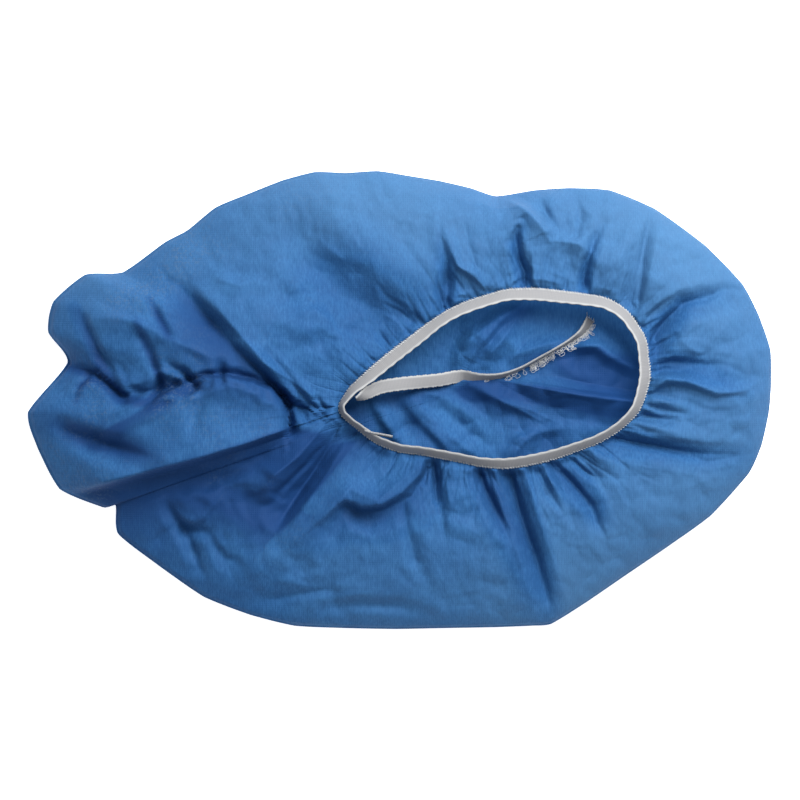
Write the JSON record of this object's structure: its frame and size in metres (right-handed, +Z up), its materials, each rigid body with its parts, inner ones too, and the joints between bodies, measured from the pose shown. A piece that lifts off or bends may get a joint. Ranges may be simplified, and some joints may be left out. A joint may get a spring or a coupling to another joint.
{
  "type": "disposable shoe cover",
  "caption": "Hollow nonwoven shoe cover lying relaxed, gathered on a flat elastic tape round its mouth, with a bunched far end, a folded lobe and a loose tape tail.",
  "frame": {"origin": "centre of the cover's bounding box in plan, on the surface that it lies on", "axes": "+X from the bunched end to the smooth end, the long way; +Y across; +Z up, the way the mouth faces"},
  "size_m": [0.3602, 0.222, 0.0373],
  "materials": {
    "nonwoven_fabric": "matt embossed nonwoven",
    "elastic_tape": "matt knitted elastic"
  },
  "bodies": {
    "root": {"fabric_body": "nonwoven_fabric", "elastic_band": "elastic_tape", "elastic_tail": "elastic_tape", "elastic_stub": "elastic_tape"}
  },
  "joints": []
}
